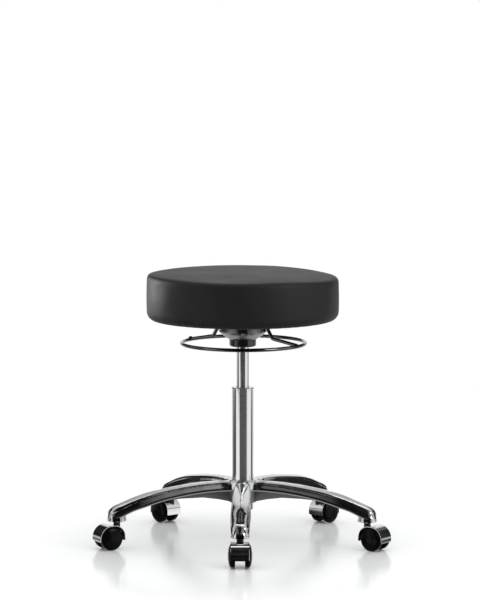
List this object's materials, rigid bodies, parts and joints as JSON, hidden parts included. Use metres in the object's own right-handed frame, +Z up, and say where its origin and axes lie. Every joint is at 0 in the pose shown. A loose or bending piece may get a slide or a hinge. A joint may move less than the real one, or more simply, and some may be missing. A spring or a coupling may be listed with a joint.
{
  "type": "rolling stylist stool",
  "caption": "Round padded stool on a gas lift with a full ring height lever, a polished star base and twin-wheel hooded casters.",
  "frame": {"origin": "on the floor, on the axis of the gas-lift column", "axes": "+Z up along the column; -Y along one arm of the base, which is the front; +X to the right when seen from the front"},
  "size_m": [0.6708, 0.6389, 0.6145],
  "materials": {
    "polished_alloy": "mirror-polished die-cast alloy, satin on the underside rib",
    "chrome_tube": "bright chrome plate",
    "chrome_piston": "bright chrome plate",
    "hood_chrome": "bright chrome plate",
    "ring_metal": "bright plated wire that mirrors the dark seat",
    "black_steel": "black oxide",
    "zinc_steel": "zinc plated",
    "black_nylon": "moulded, low sheen",
    "black_rubber": "matt",
    "alloy": "machined",
    "black_gloss": "gloss black",
    "dark_plate": "smooth dark nickel plate",
    "plywood": "bare plywood",
    "foam": "open-cell foam",
    "vinyl": "soft satin vinyl",
    "dust_cloth": "non-woven cloth",
    "wheel_black": "gloss moulded nylon"
  },
  "bodies": {
    "base": {"star_base": "polished_alloy", "caster_sockets": "black_nylon", "caster_stems": "black_steel", "stem_grip_rings": "zinc_steel", "outer_tube": "chrome_tube", "tube_collar": "chrome_tube", "guide_bushing": "black_nylon", "tube_floor": "zinc_steel", "thrust_race_lower": "zinc_steel", "thrust_balls": "zinc_steel", "thrust_race_upper": "zinc_steel", "foot_bumper": "black_rubber"},
    "rod": {"piston_rod": "zinc_steel", "piston_head": "alloy", "piston_seal": "black_rubber", "retaining_clip": "zinc_steel"},
    "lift": {"pressure_tube": "chrome_piston", "rod_guide": "alloy", "valve_block": "alloy", "hub_cup": "black_gloss", "seat_mount_plate": "dark_plate", "seat_board": "plywood", "seat_foam": "foam", "seat_cover": "vinyl", "dust_cover": "dust_cloth", "cover_staples": "zinc_steel", "t_nuts": "zinc_steel", "spring_washers": "zinc_steel", "mount_bolts": "zinc_steel"},
    "valve": {"valve_button": "zinc_steel"},
    "lever": {"release_ring": "ring_metal", "ring_crossbar": "ring_metal"},
    "caster_1": {"caster_1_hood": "hood_chrome", "caster_1_core": "black_nylon", "caster_1_axle": "zinc_steel"},
    "wheel_1a": {"caster_1_wheel_a": "wheel_black"},
    "wheel_1b": {"caster_1_wheel_b": "wheel_black"},
    "caster_2": {"caster_2_hood": "hood_chrome", "caster_2_core": "black_nylon", "caster_2_axle": "zinc_steel"},
    "wheel_2a": {"caster_2_wheel_a": "wheel_black"},
    "wheel_2b": {"caster_2_wheel_b": "wheel_black"},
    "caster_3": {"caster_3_hood": "hood_chrome", "caster_3_core": "black_nylon", "caster_3_axle": "zinc_steel"},
    "wheel_3a": {"caster_3_wheel_a": "wheel_black"},
    "wheel_3b": {"caster_3_wheel_b": "wheel_black"},
    "caster_4": {"caster_4_hood": "hood_chrome", "caster_4_core": "black_nylon", "caster_4_axle": "zinc_steel"},
    "wheel_4a": {"caster_4_wheel_a": "wheel_black"},
    "wheel_4b": {"caster_4_wheel_b": "wheel_black"},
    "caster_5": {"caster_5_hood": "hood_chrome", "caster_5_core": "black_nylon", "caster_5_axle": "zinc_steel"},
    "wheel_5a": {"caster_5_wheel_a": "wheel_black"},
    "wheel_5b": {"caster_5_wheel_b": "wheel_black"}
  },
  "joints": [
    {"name": "seat_swivel", "type": "hinge", "parent": "base", "child": "rod", "pos_m": [0, 0, 0.3], "axis": [0, 0, 1], "continuous": true},
    {"name": "seat_height", "type": "slide", "parent": "rod", "child": "lift", "axis": [0, 0, 1], "range_m": [-0.08, 0.05]},
    {"name": "ring_tilt", "type": "hinge", "parent": "lift", "child": "lever", "pos_m": [0.049, -0.02497, 0.503], "axis": [-0.454, -0.891, 0], "range_deg": [0, 4], "stiffness_Nm_per_rad": 25, "springref_deg": -5.16},
    {"name": "valve_push", "type": "slide", "parent": "lift", "child": "valve", "axis": [0, 0, 1], "range_m": [-0.004, 0], "stiffness_N_per_m": 600, "springref_m": 0.002},
    {"name": "caster_1_swivel", "type": "hinge", "parent": "base", "child": "caster_1", "pos_m": [0, -0.296, 0.055], "axis": [0, 0, 1], "continuous": true},
    {"name": "wheel_1a_spin", "type": "hinge", "parent": "caster_1", "child": "wheel_1a", "pos_m": [0.00041, -0.3175, 0.0265], "axis": [0.9998, 0.0192, 0], "continuous": true},
    {"name": "wheel_1b_spin", "type": "hinge", "parent": "caster_1", "child": "wheel_1b", "pos_m": [0.00041, -0.3175, 0.0265], "axis": [0.9998, 0.0192, 0], "continuous": true},
    {"name": "caster_2_swivel", "type": "hinge", "parent": "base", "child": "caster_2", "pos_m": [0.28151, -0.09147, 0.055], "axis": [0, 0, 1], "continuous": true},
    {"name": "wheel_2a_spin", "type": "hinge", "parent": "caster_2", "child": "wheel_2a", "pos_m": [0.29936, -0.10346, 0.0265], "axis": [0.5577, 0.83, 0], "continuous": true},
    {"name": "wheel_2b_spin", "type": "hinge", "parent": "caster_2", "child": "wheel_2b", "pos_m": [0.29936, -0.10346, 0.0265], "axis": [0.5577, 0.83, 0], "continuous": true},
    {"name": "caster_3_swivel", "type": "hinge", "parent": "base", "child": "caster_3", "pos_m": [0.17398, 0.23947, 0.055], "axis": [0, 0, 1], "continuous": true},
    {"name": "wheel_3a_spin", "type": "hinge", "parent": "caster_3", "child": "wheel_3a", "pos_m": [0.18778, 0.25596, 0.0265], "axis": [-0.7672, 0.6414, 0], "continuous": true},
    {"name": "wheel_3b_spin", "type": "hinge", "parent": "caster_3", "child": "wheel_3b", "pos_m": [0.18778, 0.25596, 0.0265], "axis": [-0.7672, 0.6414, 0], "continuous": true},
    {"name": "caster_4_swivel", "type": "hinge", "parent": "base", "child": "caster_4", "pos_m": [-0.17398, 0.23947, 0.055], "axis": [0, 0, 1], "continuous": true},
    {"name": "wheel_4a_spin", "type": "hinge", "parent": "caster_4", "child": "wheel_4a", "pos_m": [-0.1884, 0.25542, 0.0265], "axis": [-0.742, -0.6704, 0], "continuous": true},
    {"name": "wheel_4b_spin", "type": "hinge", "parent": "caster_4", "child": "wheel_4b", "pos_m": [-0.1884, 0.25542, 0.0265], "axis": [-0.742, -0.6704, 0], "continuous": true},
    {"name": "caster_5_swivel", "type": "hinge", "parent": "base", "child": "caster_5", "pos_m": [-0.28151, -0.09147, 0.055], "axis": [0, 0, 1], "continuous": true},
    {"name": "wheel_5a_spin", "type": "hinge", "parent": "caster_5", "child": "wheel_5a", "pos_m": [-0.30011, -0.10225, 0.0265], "axis": [0.5015, -0.8652, 0], "continuous": true},
    {"name": "wheel_5b_spin", "type": "hinge", "parent": "caster_5", "child": "wheel_5b", "pos_m": [-0.30011, -0.10225, 0.0265], "axis": [0.5015, -0.8652, 0], "continuous": true}
  ],
  "couplings": [
    {"joint": "valve_push", "follows": "ring_tilt", "m_per_rad": -0.055}
  ]
}
